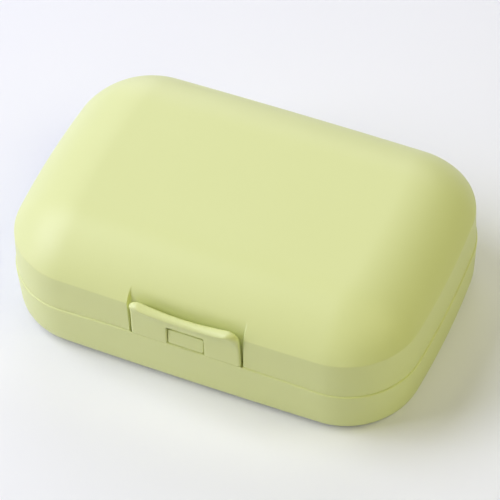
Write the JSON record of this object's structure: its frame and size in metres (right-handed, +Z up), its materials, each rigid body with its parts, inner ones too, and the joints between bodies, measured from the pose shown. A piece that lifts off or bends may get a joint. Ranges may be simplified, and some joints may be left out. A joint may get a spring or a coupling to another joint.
{
  "type": "travel soap box",
  "caption": "Rounded rectangular soap box with a hinged domed-edge lid, a flexing front latch tab and a lift-out drain tray.",
  "frame": {"origin": "centre of the flat underside", "axes": "+X along the length, to the right when seen from the latch, -Y towards the front latch, +Z up"},
  "size_m": [0.11, 0.0823, 0.0357],
  "materials": {
    "shell": "matte, fine moulded grain",
    "tray": "matte",
    "pin": "drawn stainless wire"
  },
  "bodies": {
    "base": {"base_shell": "shell", "drain_tray": "tray", "hinge_pin_left": "pin", "hinge_pin_right": "pin"},
    "lid": {"lid_shell": "shell"},
    "latch": {"latch_tab": "shell"}
  },
  "joints": [
    {"name": "lid_hinge", "type": "hinge", "parent": "base", "child": "lid", "pos_m": [0, 0.0402, 0.015], "axis": [-1, 0, 0], "range_deg": [0, 110]},
    {"name": "latch_flex", "type": "hinge", "parent": "base", "child": "latch", "pos_m": [0, -0.03665, 0.015], "axis": [1, 0, 0], "range_deg": [0, 14], "stiffness_Nm_per_rad": 0.5}
  ]
}
